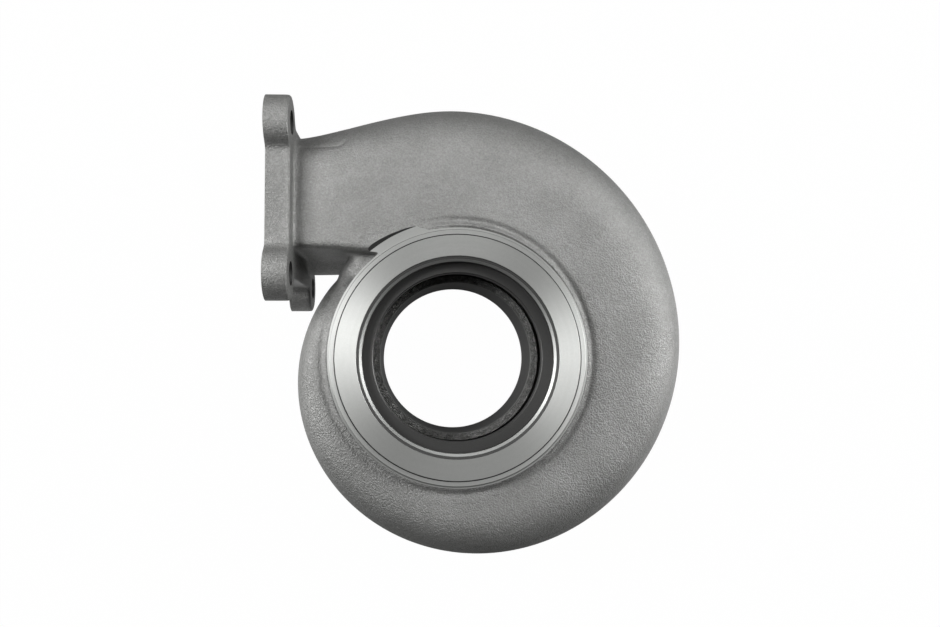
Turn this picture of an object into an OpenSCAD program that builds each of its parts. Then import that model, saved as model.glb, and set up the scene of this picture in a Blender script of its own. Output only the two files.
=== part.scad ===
// Turbine housing of a turbocharger: one casting with a divided scroll, machined on the bearing side,
// at the inlet flange and at the outlet.
// Axis of the turbine is Z, outlet face is z = 0, the bearing side looks up, the inlet face looks to -X.
// Millimetres throughout.

/* [Bearing side] */
// Height of the machined bearing face above the outlet face
bearing_face_z = 100; // [92:0.5:110]
// Radius of the pilot bore that centres the bearing housing
pilot_r = 44.3; // [42:0.1:47]
// Depth of the pilot bore
pilot_depth = 7; // [5:0.5:9]
// Radius of the opening below the pilot ledge
ledge_r = 39.5; // [38.5:0.1:41]
// Inner radius of the flat bearing face
face_inner_r = 46.8; // [45:0.1:49]
// Outer radius of the flat bearing face
face_outer_r = 56.6; // [54:0.1:58]
// Outer radius of the land round the face
land_r = 59.3; // [58:0.1:61]
// Step from the face down to the land
land_step = 0.7; // [0.3:0.1:1.5]
// Radius of the turned clearance outside the land
clearance_r = 64; // [62:0.1:66]
// Depth of the turned clearance below the face
clearance_depth = 1.6; // [1.2:0.1:3]

/* [Exducer and outlet] */
// Radius of the bore round the exducer of the wheel
exducer_r = 37.3; // [35:0.1:38.5]
// Height where the exducer bore ends and the outlet cone starts
exducer_low_z = 23; // [18:0.5:30]
// Radius of the outlet cone at the outlet face
outlet_r = 45; // [42:0.5:47]
// Outer radius of the outlet pipe
pipe_r = 51; // [50:0.5:52.5]
// Outer radius of the clamp rim at the outlet
rim_r = 56; // [54:0.5:60]
// Thickness of the clamp rim at its edge
rim_edge = 2.6; // [2:0.1:4]

/* [Nozzle] */
// Height of the lower wall of the nozzle slot
nozzle_low_z = 64; // [60:0.5:68]
// Height of the upper wall of the nozzle slot
nozzle_high_z = 86; // [82:0.5:89]
// Thickness of the dividing wall at the nozzle
nozzle_wall = 3; // [2.5:0.1:4]

/* [Scroll] */
// Outer radius of the scroll on the inlet side, over the axis
scroll_r_top = 122.6; // [118:0.1:128]
// Outer radius of the scroll a quarter turn on
scroll_r_right = 112.5; // [106:0.1:116]
// Outer radius of the scroll half a turn on
scroll_r_bottom = 94.8; // [90:0.1:99]
// Extra curl of the spiral towards the tongue
scroll_tail = -1; // [-1.2:0.05:0.2]
// Height of the front of the scroll over its run
scroll_front_z = 91; // [89:0.5:93]
// Height of the rear of the scroll at the start
scroll_rear_z = 18; // [15:0.5:24]
// Rise of the rear wall by the tongue
scroll_rear_rise = 20; // [10:0.5:26]
// Wall thickness of the scroll
wall = 5; // [4:0.1:6]
// Turn of the scroll from over the axis to the tongue
scroll_turn = 304; // [296:1:306]

/* [Inlet duct] */
// Height of the duct front by the flange
duct_front_z = 96; // [94:0.5:98]
// Most that the duct front stands up beside the bearing face
duct_crown = 5; // [3:0.5:6]
// Top of the duct at the flange
duct_top_y = 105.9; // [103:0.1:110]
// Bottom of the front runner at the flange
front_runner_y = 51; // [49:0.5:54]
// Bottom of the rear runner at the flange
rear_runner_y = 44.5; // [43:0.5:48]
// Height of the top of the rear runner's bulge under the duct
runner_step_z = 36; // [34:0.5:42]
// Height where the bulge has run out into the front runner
runner_step_top_z = 50; // [48:0.5:56]

/* [Inlet flange] */
// Distance of the inlet face from the turbine axis
inlet_x = 88; // [84:0.5:94]
// Height of the flange centre above the turbine axis, sideways
flange_y = 73.4; // [70:0.1:77]
// Flange centre above the outlet face
flange_z = 57; // [56.2:0.1:60]
// Thickness of the flange
flange_t = 12.7; // [11:0.1:15]
// Spacing of the bolt holes across the duct
hole_y = 69.9; // [68:0.1:72]
// Spacing of the bolt holes along the turbine axis
hole_z = 85.7; // [84:0.1:87]
// Radius of the bolt holes
hole_r = 5.65; // [5:0.05:6.5]
// Radius of the ears round the bolt holes
ear_r = 12.6; // [11:0.1:13.4]
// Half width of the flange between the ears
waist = 47.4; // [45:0.1:49]
// Height of each inlet port
port_y = 50; // [46:0.5:52]
// Width of each inlet port
port_z = 31; // [28:0.5:32]

/* [Fineness] */
// Degrees of turn in one facet of the scroll
turn_step = 9; // [5:1:12]
// Facets in one rounded corner of the outside
corner_n = 4; // [3:1:8]
// Facets in one rounded corner of the passages
passage_n = 3; // [2:1:6]

/* [Hidden] */
$fn = 96;
divider = 5;
scroll_div_z = 62;
nozzle_mid = (nozzle_low_z + nozzle_high_z) / 2;
land_z = bearing_face_z - land_step;
clear_z = bearing_face_z - clearance_depth;
duct_x0 = -inlet_x + flange_t / 2;
core_r = 46;
boss_r = 60.2;
boss_sides = 72;
throat_r = 50;
slot_r = 53;
divider_tip_r = 43;
duct_n = 9;
step_end_z = 50;
port_low = flange_y - port_y / 2 + 4;
step_n = 2;
// Angle round the axis where the duct passes into the scroll, and where the scroll ends
duct_end_a = 90;
scroll_end_a = duct_end_a - scroll_turn;
// Angle by which the passages stop short of the end of the scroll
passage_short = 8;
// Angle that the tongue laps over the end of the scroll, and the angle of one step of it
tongue_lap = 12;
tongue_step = 8;
// Height of the foot of the bearing boss inside the scroll, and of the top of the outlet pipe
boss_low_z = 50;
pipe_top_z = 60;
// Rise of the cone at the back of the clamp rim
rim_cone = 2.4;
// How far a cutter reaches past the face that it cuts
over = 1;

// Blend from 0 to 1 with flat ends
function ease(t) = let (c = min(1, max(0, t))) c * c * (3 - 2 * c);
function mix(a, b, t) = a + (b - a) * t;

// Spiral rule: outer radius against the angle round the axis
function spiral_r(a) = let (
    u = a / 90,
    b = (scroll_r_top - scroll_r_bottom) / 2,
    c = (scroll_r_top + scroll_r_bottom) / 2 - scroll_r_right
) scroll_r_right + b * u + c * u * u + scroll_tail * (u * u * u - u);

// Corner k of outline p, cut back by the lengths c and rounded in n steps
function corner(p, k, c, n) = let (
    m = len(p),
    o = p[k],
    a = p[(k + m - 1) % m] - o,
    b = p[(k + 1) % m] - o,
    s = o + a * min(0.49, c[0] / norm(a)),
    e = o + b * min(0.49, c[1] / norm(b))
) [for (i = [0:n]) let (t = i / n) s * (1 - t) * (1 - t) + o * 2 * t * (1 - t) + e * t * t];
function rounded(p, c, n) = [for (k = [0:len(p) - 1]) each corner(p, k, c[k], k < 4 ? n : step_n)];

// Stations along the run: [0, x] in the straight duct, [1, angle] round the scroll
function duct_stations(x0) = [for (i = [0:duct_n - 1]) [0, mix(x0, 0, i / duct_n)]];
function turn_stations(a0, a1) = let (n = ceil(abs(a1 - a0) / turn_step))
    [for (i = [0:n]) [1, mix(a0, a1, i / n)]];
function place(s, q) = s[0] == 0 ? [s[1], q[0], q[1]]
    : [q[0] * cos(s[1]), q[0] * sin(s[1]), q[1]];

// Place along the run: 0 at the flange, 1 over the axis, more than 1 round the scroll
function along(s) = s[0] == 0 ? ease(1 - s[1] / duct_x0) : 1;
function top_at(s) = s[0] == 0
    ? mix(duct_top_y, scroll_r_top, ease(pow(max(0, 1 - s[1] / (duct_x0 + 2)), 0.92)))
    : spiral_r(s[1]);
function front_at(s) = s[0] == 0
    ? duct_front_z + duct_crown * sin(180 * min(1, 1.1 * (1 - s[1] / duct_x0)))
        + (scroll_front_z + 5 - duct_front_z) * along(s)
    : scroll_front_z + 5 * ease((s[1] - 10) / 80) - 5 * ease((-150 - s[1]) / 80);
function rear_at(s) = s[0] == 0 ? scroll_rear_z
    : scroll_rear_z + scroll_rear_rise * pow((duct_end_a - s[1]) / scroll_turn, 1.3);
function div_at(s) = s[0] == 0 ? mix(flange_z, scroll_div_z, along(s)) : scroll_div_z;

// Outside of the run, as six corners: front inner, front outer, rear outer, rear inner, and the two of the
// step under the duct, where the rear runner bulges out below the front one
function outside(s) = let (
    t = top_at(s), f = front_at(s), r = rear_at(s), w = along(s),
    fi = mix(front_runner_y, core_r, w), ri = mix(rear_runner_y, core_r, w),
    k = min(1, (t - core_r) / 66)
) rounded([[fi, f], [t, f - 1], [t, r], [ri, r],
        [ri - w, mix(runner_step_z, step_end_z, w)], [fi - w, mix(runner_step_top_z, step_end_z + 9, w)]],
    [[3.5, 3.5], [mix(24, 30, w) * k, mix(24, 34, w) * k], [34 * k, 30 * k], [14, 14], [4, 4], [4, 4]],
    corner_n);

// Floor of the ports, which rises behind the inlet face to keep a whole wall under the front runner
function floor_at(s) = mix(port_low, front_runner_y + wall,
    s[0] == 0 ? ease((s[1] + inlet_x) / flange_t) : 1);

// Front and rear passages, as four corners each
function front_passage(s) = let (
    t = top_at(s) - wall, f = front_at(s) - wall, d = div_at(s) + divider / 2, w = along(s),
    pt = mix(flange_y + port_y / 2, t, w), pb = mix(floor_at(s), throat_r, w),
    pf = mix(flange_z + divider / 2 + port_z, f, w)
) rounded([[pb, mix(pf, nozzle_high_z - 0.8, w)], [pt, pf - 1], [pt, d],
    [pb, mix(d, nozzle_mid + nozzle_wall / 2 + 0.8, w)]],
    [[5, 5], [mix(8, 24, w), mix(8, 16, w)], [8, 6], [5, 5]], passage_n);
function rear_passage(s) = let (
    t = top_at(s) - wall, r = rear_at(s) + wall, d = div_at(s) - divider / 2, w = along(s),
    pt = mix(flange_y + port_y / 2, t, w), pb = mix(floor_at(s), throat_r, w),
    pr = mix(flange_z - divider / 2 - port_z, r, w)
) rounded([[pb, mix(d, nozzle_mid - nozzle_wall / 2 - 0.8, w)], [pt, d], [pt, pr],
    [mix(port_low, throat_r + 6, w), mix(pr, r, w)]],
    [[5, 4], [8, 6], [mix(8, 20, w), mix(8, 24, w)], [8, 8]], passage_n);

// Skin over a list of rings of points, closed at both ends
module skin(rings) {
    m = len(rings[0]);
    n = len(rings);
    polyhedron(points = [for (r = rings) each r], faces = concat(
        [[for (j = [0:m - 1]) m - 1 - j]],
        [for (i = [0:n - 2]) each [for (j = [0:m - 1])
            each [[i * m + j, i * m + (j + 1) % m, (i + 1) * m + j],
                [i * m + (j + 1) % m, (i + 1) * m + (j + 1) % m, (i + 1) * m + j]]]],
        [[for (j = [0:m - 1]) (n - 1) * m + j]]), convexity = 10);
}
function rings_out(st) = [for (s = st) [for (q = outside(s)) place(s, q)]];
function rings_front(st) = [for (s = st) [for (q = front_passage(s)) place(s, q)]];
function rings_rear(st) = [for (s = st) [for (q = rear_passage(s)) place(s, q)]];

run = concat(duct_stations(duct_x0), turn_stations(duct_end_a, scroll_end_a));
run_in = concat([[0, -inlet_x - over]], duct_stations(duct_x0),
    turn_stations(duct_end_a, scroll_end_a + passage_short));

// Tongue: a blunt wedge from the end of the scroll up into the duct
function tongue_rings() = [for (i = [0:4]) let (
    a = scroll_end_a + tongue_lap - i * tongue_step,
    s = [1, a], t = spiral_r(a) - 1.5 + 0.5 * i, f = front_at(s) - 2, r = rear_at(s) + 3
) [for (q = rounded([[core_r + 1, f], [t, f - 1], [t, r], [core_r + 1, r]],
    [[3, 3], [7, 12], [12, 7], [3, 3]], passage_n)) place(s, q)]];

// Cast boss round the bearing side, a many-sided prism that the lathe then turns
module bearing_boss() translate([0, 0, boss_low_z]) linear_extrude(bearing_face_z - boss_low_z)
    polygon([for (i = [0:boss_sides - 1]) let (a = (i + 0.26) * 360 / boss_sides)
        boss_r * [cos(a), sin(a)]]);

// Outlet pipe with its clamp rim, coned at the back for a band
module outlet_pipe() rotate([0, 0, 123]) rotate_extrude($fn = 144) polygon([
    [0, 0], [rim_r, 0], [rim_r, rim_edge], [pipe_r, rim_edge + rim_cone], [pipe_r, pipe_top_z],
    [0, pipe_top_z]]);

// Everything turned away inside: outlet cone, exducer bore, both nozzle slots, ledge and pilot bore
module turned_inside() rotate_extrude($fn = 144) polygon([
    [0, -over], [outlet_r, -over], [outlet_r, 0.5], [exducer_r, exducer_low_z],
    [exducer_r, nozzle_low_z - 1.5], [exducer_r + 1, nozzle_low_z], [slot_r, nozzle_low_z],
    [slot_r, nozzle_mid - nozzle_wall / 2], [divider_tip_r, nozzle_mid - nozzle_wall / 2],
    [divider_tip_r, nozzle_mid + nozzle_wall / 2], [slot_r, nozzle_mid + nozzle_wall / 2],
    [slot_r, nozzle_high_z], [ledge_r, nozzle_high_z], [ledge_r, bearing_face_z - pilot_depth],
    [pilot_r, bearing_face_z - pilot_depth], [pilot_r, bearing_face_z - 1.2],
    [pilot_r + 1.2, bearing_face_z - 0.6], [face_inner_r, bearing_face_z - 0.4],
    [face_inner_r, bearing_face_z + 30], [0, bearing_face_z + 30]]);

// Turned away outside: the step down to the land, and clearance with a wall that flares outwards
module turned_outside() rotate_extrude($fn = 144) polygon([
    [face_outer_r, bearing_face_z + 30], [face_outer_r, land_z], [land_r, land_z],
    [land_r, clear_z], [clearance_r, clear_z], [clearance_r + 12, clear_z + 12],
    [clearance_r + 12, bearing_face_z + 30]]);

// Outline of the flange, drawn as [side, height]
module ear_side(sy, sz) {
    ey = sy * hole_y / 2;
    ez = sz * hole_z / 2;
    rf = 5;
    dz = waist + rf - hole_z / 2;
    dy = sqrt(pow(ear_r + rf - 0.04, 2) - dz * dz);
    fy = ey - sy * dy;
    fz = sz * (waist + rf);
    difference() {
        polygon([[ey, ez], [fy, fz], [fy, sz * (waist - 6)], [ey, sz * (waist - 6)]]);
        translate([fy, fz]) circle(r = rf);
    }
}
module flange_outline() {
    square([hole_y, 2 * waist], center = true);
    square([hole_y + 2 * ear_r - 5, hole_z - 6], center = true);
    for (sy = [-1, 1], sz = [-1, 1]) {
        translate([sy * hole_y / 2, sz * hole_z / 2]) circle(r = ear_r);
        ear_side(sy, sz);
    }
}
module inlet_flange() translate([-inlet_x, flange_y, flange_z]) rotate([90, 0, 90])
    linear_extrude(flange_t) flange_outline();
module bolt_holes() for (sy = [-1, 1], sz = [-1, 1])
    translate([-inlet_x - over, flange_y + sy * hole_y / 2, flange_z + sz * hole_z / 2])
        rotate([0, 90, 0]) cylinder(r = hole_r, h = flange_t + 3, $fn = 48);

// The raw casting, put together a pair at a time
module scroll_and_boss() union() {
    skin(rings_out(run));
    bearing_boss();
}
module scroll_and_pipe() union() {
    scroll_and_boss();
    outlet_pipe();
}
module scroll_and_tongue() union() {
    scroll_and_pipe();
    skin(tongue_rings());
}
module casting() union() {
    scroll_and_tongue();
    inlet_flange();
}

// The two gas passages are cored, then the faces and bores are machined
module cored_front() difference() {
    casting();
    skin(rings_front(run_in));
}
module cored() difference() {
    cored_front();
    skin(rings_rear(run_in));
}
module turned_bore() difference() {
    cored();
    turned_inside();
}
module turned() difference() {
    turned_bore();
    turned_outside();
}

module turbine_housing() color([0.52, 0.52, 0.5]) difference() {
    turned();
    bolt_holes();
}

turbine_housing();
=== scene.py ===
"""Looks of a cast turbine housing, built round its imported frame.

The raw casting follows one rule, a spiral of rounded sections, so a Geometry Nodes tree sweeps it, and the
same tree sweeps the two gas passages. The casting is then fused, blended and machined as the real one is:
turned at the bearing side and in the bore, faced at the inlet, drilled at the ears. Lengths in the classes
are millimetres.
"""

from __future__ import annotations

import logging
import math
from dataclasses import dataclass, field
from enum import Enum
from typing import ClassVar, Sequence, Union

import bmesh
import bpy
import numpy as np
from bmesh.types import BMesh, BMVert
from bpy.types import Material, Mesh, Node, NodeSocket, NodeTree, Object
from mathutils import Matrix, Vector

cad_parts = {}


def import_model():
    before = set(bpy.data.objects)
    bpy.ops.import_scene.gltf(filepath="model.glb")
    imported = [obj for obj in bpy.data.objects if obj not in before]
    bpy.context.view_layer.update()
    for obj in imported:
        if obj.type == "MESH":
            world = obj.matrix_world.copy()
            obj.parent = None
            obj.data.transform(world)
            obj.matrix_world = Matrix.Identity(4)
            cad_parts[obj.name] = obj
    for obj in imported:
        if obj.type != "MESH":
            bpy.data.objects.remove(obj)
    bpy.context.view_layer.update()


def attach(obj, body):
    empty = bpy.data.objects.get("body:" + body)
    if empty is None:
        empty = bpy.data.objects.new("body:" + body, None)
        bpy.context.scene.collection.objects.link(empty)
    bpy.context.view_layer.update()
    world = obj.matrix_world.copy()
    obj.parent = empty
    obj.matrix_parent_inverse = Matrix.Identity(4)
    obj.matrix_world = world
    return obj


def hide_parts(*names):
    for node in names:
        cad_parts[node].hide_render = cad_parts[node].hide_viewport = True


LOG = logging.getLogger("turbine_housing")
MM = 0.001
MERGE = 1e-6
Number = Union[float, "Rule"]
Point = tuple[float, float]


class Surface(Enum):
    """Finish of each region of the casting; the value is the material slot."""

    CAST = 0
    FACE = 1
    LAND = 2
    EDGE = 3
    BORE = 4
    LIP = 5
    CORE = 6
    MILLED = 7


# Formulas as nodes


class Rule:
    """A number that varies over a mesh or a surface, written as a formula and built as math nodes."""

    def __init__(self, tree: NodeTree, socket: NodeSocket) -> None:
        """Wraps the output socket of a tree that carries the number."""
        self.tree = tree
        self.socket = socket

    def math(self, operation: str, *others: Number, clamp: bool = False) -> "Rule":
        """Adds one math node.

        Args:
            operation: name of the math operation.
            *others: the second and third operands.
            clamp: keeps the result between 0 and 1.

        Returns:
            The result.
        """
        node = self.tree.nodes.new("ShaderNodeMath")
        node.operation = operation
        node.use_clamp = clamp
        for slot, value in zip(node.inputs, (self, *others)):
            feed(slot, value)
        return Rule(self.tree, node.outputs[0])

    def __add__(self, other: Number) -> "Rule":
        """Sum."""
        return self.math("ADD", other)

    def __sub__(self, other: Number) -> "Rule":
        """Difference."""
        return self.math("SUBTRACT", other)

    def __mul__(self, other: Number) -> "Rule":
        """Product."""
        return self.math("MULTIPLY", other)

    def __truediv__(self, other: Number) -> "Rule":
        """Quotient."""
        return self.math("DIVIDE", other)

    def flip(self) -> "Rule":
        """One minus the number."""
        return (self * -1.0) + 1.0

    def held(self) -> "Rule":
        """The number kept between 0 and 1."""
        return self.math("ADD", 0.0, clamp=True)

    def ease(self) -> "Rule":
        """Blend from 0 to 1 with flat ends."""
        held = self.held()
        return held * held * (held * -2.0 + 3.0)

    def to(self, other: Number, amount: Number) -> "Rule":
        """Mix from this number to another.

        Args:
            other: the number at amount 1.
            amount: how far to go.

        Returns:
            The mixed number.
        """
        gap = (other - self) if isinstance(other, Rule) else (self * -1.0 + other)
        return self + gap * amount


def constant(tree: NodeTree, value: float) -> Rule:
    """A plain number as a rule of the tree."""
    node = tree.nodes.new("ShaderNodeValue")
    node.outputs[0].default_value = value
    return Rule(tree, node.outputs[0])


def feed(slot: NodeSocket, value: object) -> None:
    """Links a rule or an output to an input, or sets the input's plain value.

    Args:
        slot: the input.
        value: what goes in.
    """
    source = value.socket if isinstance(value, Rule) else value
    if isinstance(source, NodeSocket):
        slot.id_data.links.new(source, slot)
    else:
        slot.default_value = source


# Plain helpers


def title(name: str) -> str:
    """Name of a field as the tree shows it."""
    return name.replace("_", " ").capitalize()


def smooth(t: float) -> float:
    """Blend from 0 to 1 with flat ends."""
    return float(eased(t))


def eased(t: np.ndarray | float) -> np.ndarray:
    """Blend from 0 to 1 with flat ends, for arrays."""
    held = np.clip(t, 0.0, 1.0)
    return held * held * (3.0 - 2.0 * held)


def within(weight: np.ndarray | float, value: np.ndarray, limits: Point, fades: Point) -> np.ndarray:
    """Keeps a weight where a value lies between two limits.

    Args:
        weight: the weight, a number or an array.
        value: what has to lie between the limits.
        limits: the lower and the upper limit, where the weight is nought.
        fades: lengths over which it comes in and goes out.

    Returns:
        The weight, faded to nought outside.
    """
    return weight * eased((value - limits[0]) / fades[0]) * eased((limits[1] - value) / fades[1])


# The sweep


@dataclass
class Corner:
    """One rounded corner of the section, by its place at the inlet and its place on the scroll."""

    duct_side: float
    duct_height: float
    side: float = 0.0
    of_top: float = 0.0
    lift: float = 0.0
    of_front: float = 0.0
    of_rear: float = 0.0
    follow: float = 0.0
    cut_in_duct: float = 4.0
    cut_in: float = 4.0
    cut_out_duct: float = 4.0
    cut_out: float = 4.0
    shrinks: float = 0.0
    rises: float = 0.0

    IDLE_CUT: ClassVar[float] = 0.5

    def between(self, other: "Corner", share: float) -> "Corner":
        """A corner that lies on the straight side to another one.

        Args:
            other: the corner at the far end of the side.
            share: how far along the side it lies.

        Returns:
            A corner with hardly any round.
        """
        values = {k: a + (getattr(other, k) - a) * share for k, a in self.__dict__.items()}
        values.update({k: self.IDLE_CUT for k in values if k.startswith("cut")}, shrinks=0.0)
        return Corner(**values)


def spiral(q: Number, top: Number, right: Number, low: Number, curl: Number) -> Number:
    """Outer radius of the scroll, as a number or as nodes.

    Args:
        q: quarter turns from the right-hand side, upwards.
        top: radius over the axis.
        right: radius at the right-hand side.
        low: radius under the axis.
        curl: cubic part of the rule, which bends the tail.

    Returns:
        The radius.
    """
    slope, bend = (top - low) * 0.5, (top + low) * 0.5 - right
    return right + slope * q + bend * q * q + curl * (q * q * q - q)


CORNERS = ("Front inner", "Front outer", "Rear outer", "Rear inner", "Step low", "Step high")


@dataclass
class Sweep:
    """Sizes of one sweep along the duct and round the scroll; each number is an input of the tree."""

    corners: Sequence[Corner]
    stations: int = 230
    corner_points: int = 54
    inlet_x: float = -84.0
    blend_x: float = -81.65
    turn: float = 304.0
    radius_top: float = 122.6
    radius_right: float = 112.5
    radius_bottom: float = 94.8
    tail_curl: float = -1.0
    duct_top: float = 105.9
    hub: float = 46.0
    front: float = 91.0
    front_swell: float = 6.4
    front_fall: float = 5.0
    duct_front: float = 96.0
    duct_crown: float = 7.6
    rear: float = 18.0
    rear_rise: float = 20.0
    floor_rise: float = 0.0

    SWELL_FROM: ClassVar[float] = 10.0
    FALL_FROM: ClassVar[float] = -150.0
    EASE_OVER: ClassVar[float] = 80.0
    REAR_POWER: ClassVar[float] = 1.3

    def radius(self, angle: float) -> float:
        """Spiral rule: outer radius at an angle, in degrees round the axis."""
        return spiral(angle / 90.0, self.radius_top, self.radius_right, self.radius_bottom, self.tail_curl)

    def front_at(self, angle: float) -> float:
        """Height of the front of the scroll at an angle, in degrees."""
        swell = smooth((angle - self.SWELL_FROM) / self.EASE_OVER)
        fall = smooth((self.FALL_FROM - angle) / self.EASE_OVER)
        return self.front + self.front_swell * swell - self.front_fall * fall

    def rear_at(self, angle: float) -> float:
        """Height of the rear of the scroll at an angle, in degrees."""
        return self.rear + self.rear_rise * min(1.0, (90.0 - angle) / self.turn) ** self.REAR_POWER

    def values(self) -> dict[str, float]:
        """Every number by the name of its input in the tree."""
        plain = {title(k): v for k, v in self.__dict__.items() if k != "corners"}
        for name, corner in zip(CORNERS, self.corners):
            plain.update({f"{name} {k.replace('_', ' ')}": float(v) for k, v in corner.__dict__.items()})
        return plain


class ScrollTree:
    """Geometry Nodes tree that sweeps a rounded section along the duct and round the spiral."""

    DUCT_SHARE = 0.24
    END = 0.00001
    TOP_POWER = 0.92
    TOP_LAG = 2.0
    CROWN_SHARPNESS = 0.04
    PORT_X = 88.0
    FLANGE_RUN = 12.7
    FULL_HEIGHT = 66.0
    MOST_OF_SIDE = 0.49

    def __init__(self, sizes: Sweep) -> None:
        """Builds the tree, with an input for each number of the sizes."""
        self.tree = bpy.data.node_groups.new("scroll_sweep", "GeometryNodeTree")
        face = self.tree.interface
        for name, value in sizes.values().items():
            kind = "NodeSocketInt" if isinstance(value, int) else "NodeSocketFloat"
            face.new_socket(name, in_out="INPUT", socket_type=kind)
        face.new_socket("Material", in_out="INPUT", socket_type="NodeSocketMaterial")
        face.new_socket("Geometry", in_out="OUTPUT", socket_type="NodeSocketGeometry")
        self.enter = self.tree.nodes.new("NodeGroupInput")
        self.leave = self.tree.nodes.new("NodeGroupOutput")
        self._build()

    def given(self, name: str) -> Rule:
        """An input of the tree as a rule."""
        return Rule(self.tree, self.enter.outputs[name])

    def _build(self) -> None:
        """Builds the grid, its place by the rule, and the finish."""
        given = self.given
        nodes = self.tree.nodes
        per_ring = given("Corner points") * float(len(CORNERS)) + 1.0
        grid = nodes.new("GeometryNodeMeshGrid")
        feed(grid.inputs["Vertices X"], given("Stations"))
        feed(grid.inputs["Vertices Y"], per_ring)
        number = Rule(self.tree, nodes.new("GeometryNodeInputIndex").outputs[0])
        ring = ((number + 0.5) / per_ring).math("FLOOR")
        step = number - ring * per_ring
        along = ring / (given("Stations") - 1.0)
        run = self._run(along)
        side, height, centre = self._section(step, run)

        radians = run["angle"] * (math.pi / 180.0)
        turn_cos, turn_sin = radians.math("COSINE"), radians.math("SINE")
        px = run["x"].to(side * turn_cos, run["in_turn"])
        py = side.to(side * turn_sin, run["in_turn"])

        # The rings at both ends close to their middle.
        first, last = (along - self.END).math("LESS_THAN", 0.0), along.math("GREATER_THAN", 1.0 - self.END)
        shut = first.math("MAXIMUM", last)
        middle = (run["top"] + given("Hub")) * 0.5
        px = px.to(run["x"].to(middle * turn_cos, run["in_turn"]), shut)
        py = py.to(middle.to(middle * turn_sin, run["in_turn"]), shut)
        height = height.to(centre, shut)

        place = nodes.new("ShaderNodeCombineXYZ")
        for slot, value in zip(place.inputs, (px, py, height)):
            feed(slot, value * MM)
        flow = grid.outputs["Mesh"]
        for kind, more in (("GeometryNodeSetPosition", {"Position": place.outputs[0]}),
                           ("GeometryNodeMergeByDistance", {"Distance": MERGE}),
                           ("GeometryNodeRealizeInstances", {}),
                           ("GeometryNodeSetMaterial", {"Material": self.enter.outputs["Material"]})):
            node = nodes.new(kind)
            for slot, value in {"Geometry": flow, **more}.items():
                feed(node.inputs[slot], value)
            flow = node.outputs[0]
        feed(self.leave.inputs[0], flow)

    def _run(self, along: Rule) -> dict[str, Rule]:
        """Rules that hold for a whole station.

        Args:
            along: share of the way from the inlet to the tongue.

        Returns:
            Place, angle, blend, top, front, rear and floor of the station.
        """
        given = self.given
        duct = (along / self.DUCT_SHARE).held()
        turned = ((along - self.DUCT_SHARE) / (1.0 - self.DUCT_SHARE)).math("MAXIMUM", 0.0)
        in_turn = along.math("GREATER_THAN", self.DUCT_SHARE)
        x = given("Inlet x") * duct.flip()
        angle = turned * given("Turn") * -1.0 + 90.0
        near = (x / given("Blend x")).flip().held()
        near_top = (x / (given("Blend x") + self.TOP_LAG)).flip().held()
        blend = near.ease().to(1.0, in_turn)
        sizes = (given(name) for name in ("Radius top", "Radius right", "Radius bottom", "Tail curl"))
        on_spiral = spiral(angle / 90.0, *sizes)
        rise = near_top.math("POWER", self.TOP_POWER).ease()
        top = given("Duct top").to(given("Radius top"), rise).to(on_spiral, in_turn)
        left = near.flip()
        crown = (near * 2.0).ease() * left * left / (left + self.CROWN_SHARPNESS)
        over_axis = given("Front") + given("Front swell")
        duct_front = given("Duct front").to(over_axis, blend) + crown * given("Duct crown")
        swell = ((angle - Sweep.SWELL_FROM) / Sweep.EASE_OVER).ease() * given("Front swell")
        fall = ((angle * -1.0 + Sweep.FALL_FROM) / Sweep.EASE_OVER).ease() * given("Front fall")
        front = duct_front.to(given("Front") + swell - fall, in_turn)
        rear = given("Rear") + turned.math("POWER", Sweep.REAR_POWER) * given("Rear rise")
        floor = ((x + self.PORT_X) / self.FLANGE_RUN).ease() * given("Floor rise")
        return {"x": x, "angle": angle, "in_turn": in_turn, "blend": blend, "top": top, "front": front,
                "rear": rear, "floor": floor}

    def _section(self, step: Rule, run: dict[str, Rule]) -> tuple[Rule, Rule, Rule]:
        """Place on the rounded section.

        Args:
            step: number of the point round the section.
            run: rules of the station.

        Returns:
            Distance from the axis, height, and height of the section's middle.
        """
        given = self.given
        points = given("Corner points")
        wrapped = step.math("MODULO", points * float(len(CORNERS)))
        index = ((wrapped + 0.5) / points).math("FLOOR")
        local = (wrapped - index * points) / points * 3.0 - 1.0
        size = ((run["top"] - given("Hub")) / self.FULL_HEIGHT).math("MINIMUM", 1.0)
        sides: list[Rule] = []
        heights: list[Rule] = []
        cuts: dict[str, list[Rule]] = {"cut in": [], "cut out": []}
        for name in CORNERS:
            amount = run["blend"].math("MAXIMUM", given(f"{name} follow"))
            on_scroll = given(f"{name} side") + run["top"] * given(f"{name} of top")
            lifted = given(f"{name} lift") + run["front"] * given(f"{name} of front")
            lifted = lifted + run["rear"] * given(f"{name} of rear")
            start = given(f"{name} duct side") + run["floor"] * given(f"{name} rises")
            of_spiral = given(f"{name} follow") * given(f"{name} of top")
            sides.append(start.to(on_scroll, run["blend"].math("MAXIMUM", of_spiral)))
            heights.append(given(f"{name} duct height").to(lifted, amount))
            scale = constant(self.tree, 1.0).to(size, given(f"{name} shrinks"))
            for kind, ends in cuts.items():
                length = given(f"{name} {kind} duct").to(given(f"{name} {kind}"), run["blend"])
                ends.append(length * scale)

        def pick(options: list[Rule], shift: int = 0) -> Rule:
            """Takes the option of the corner that the point belongs to."""
            total = constant(self.tree, 0.0)
            for k in range(len(options)):
                chosen = (index - float(k)).math("ABSOLUTE").math("LESS_THAN", 0.5)
                total = total + options[(k + shift) % len(options)] * chosen
            return total

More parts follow.
